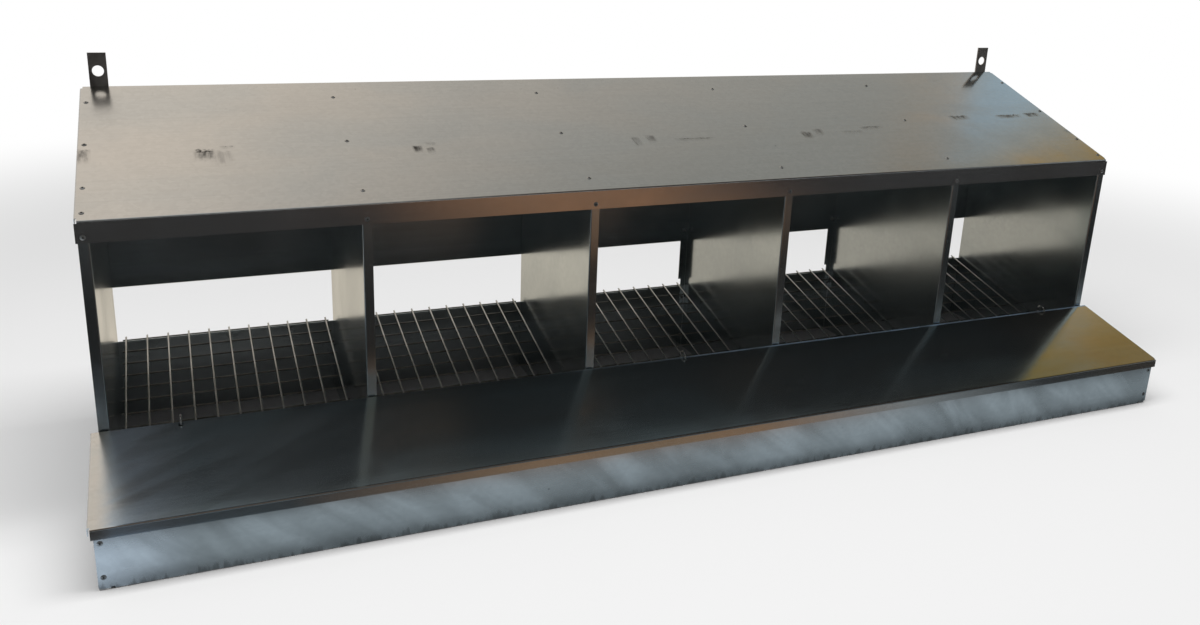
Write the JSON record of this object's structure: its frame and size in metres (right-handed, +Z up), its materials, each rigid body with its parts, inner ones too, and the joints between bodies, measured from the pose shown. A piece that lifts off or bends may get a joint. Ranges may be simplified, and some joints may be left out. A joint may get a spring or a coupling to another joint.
{
  "type": "chicken nesting box",
  "caption": "Galvanised sheet-steel row of nests with a sloping roof, sloping wire floors, and a roll-away egg tray under a hinged lid along the front.",
  "frame": {"origin": "on the floor, under the middle of the whole box", "axes": "+X along the row of nests, to the right as seen from the egg tray; +Y from the tray to the back; +Z up"},
  "size_m": [1.3862, 0.4108, 0.466],
  "materials": {
    "galvanised_sheet": "bright hot-dip zinc, lightly scuffed",
    "galvanised_wire": "drawn and zinc-coated, welded at the crossings",
    "ring_wire": "drawn and zinc-coated, dulled",
    "tab_strip": "dull zinc, darkened",
    "rivets": "satin blind rivet, dulled"
  },
  "bodies": {
    "box": {"roof_sheet": "galvanised_sheet", "rear_upper_panel": "galvanised_sheet", "rear_lower_panel": "galvanised_sheet", "front_rail": "galvanised_sheet", "tray_front_wall": "galvanised_sheet", "tray_left_end": "galvanised_sheet", "tray_right_end": "galvanised_sheet", "left_hanging_tab": "tab_strip", "right_hanging_tab": "tab_strip", "roof_rivets": "rivets", "lip_rivets": "rivets", "rail_rivets": "rivets", "rear_upper_rivets": "rivets", "rear_lower_rivets": "rivets", "tray_front_rivets": "rivets", "tray_rear_rivets": "rivets", "tab_rivets": "rivets", "left_end_panel": "galvanised_sheet", "divider_1": "galvanised_sheet", "divider_2": "galvanised_sheet", "divider_3": "galvanised_sheet", "divider_4": "galvanised_sheet", "right_end_panel": "galvanised_sheet", "hinge_ring_1": "ring_wire", "hinge_ring_2": "ring_wire", "hinge_ring_3": "ring_wire"},
    "lid": {"egg_lid": "galvanised_sheet"},
    "floor_1": {"wire_floor_1": "galvanised_wire"},
    "floor_2": {"wire_floor_2": "galvanised_wire"},
    "floor_3": {"wire_floor_3": "galvanised_wire"},
    "floor_4": {"wire_floor_4": "galvanised_wire"},
    "floor_5": {"wire_floor_5": "galvanised_wire"}
  },
  "joints": [
    {"name": "lid_hinge", "type": "hinge", "parent": "box", "child": "lid", "pos_m": [0, -0.0653, 0.1025], "axis": [-1, 0, 0], "range_deg": [0, 104]},
    {"name": "floor_1_lift", "type": "hinge", "parent": "box", "child": "floor_1", "pos_m": [-0.54, 0.1994, 0.0988], "axis": [-1, 0, 0], "range_deg": [0, 6]},
    {"name": "floor_2_lift", "type": "hinge", "parent": "box", "child": "floor_2", "pos_m": [-0.27, 0.1994, 0.0988], "axis": [-1, 0, 0], "range_deg": [0, 6]},
    {"name": "floor_3_lift", "type": "hinge", "parent": "box", "child": "floor_3", "pos_m": [0, 0.1994, 0.0988], "axis": [-1, 0, 0], "range_deg": [0, 6]},
    {"name": "floor_4_lift", "type": "hinge", "parent": "box", "child": "floor_4", "pos_m": [0.27, 0.1994, 0.0988], "axis": [-1, 0, 0], "range_deg": [0, 6]},
    {"name": "floor_5_lift", "type": "hinge", "parent": "box", "child": "floor_5", "pos_m": [0.54, 0.1994, 0.0988], "axis": [-1, 0, 0], "range_deg": [0, 6]}
  ]
}
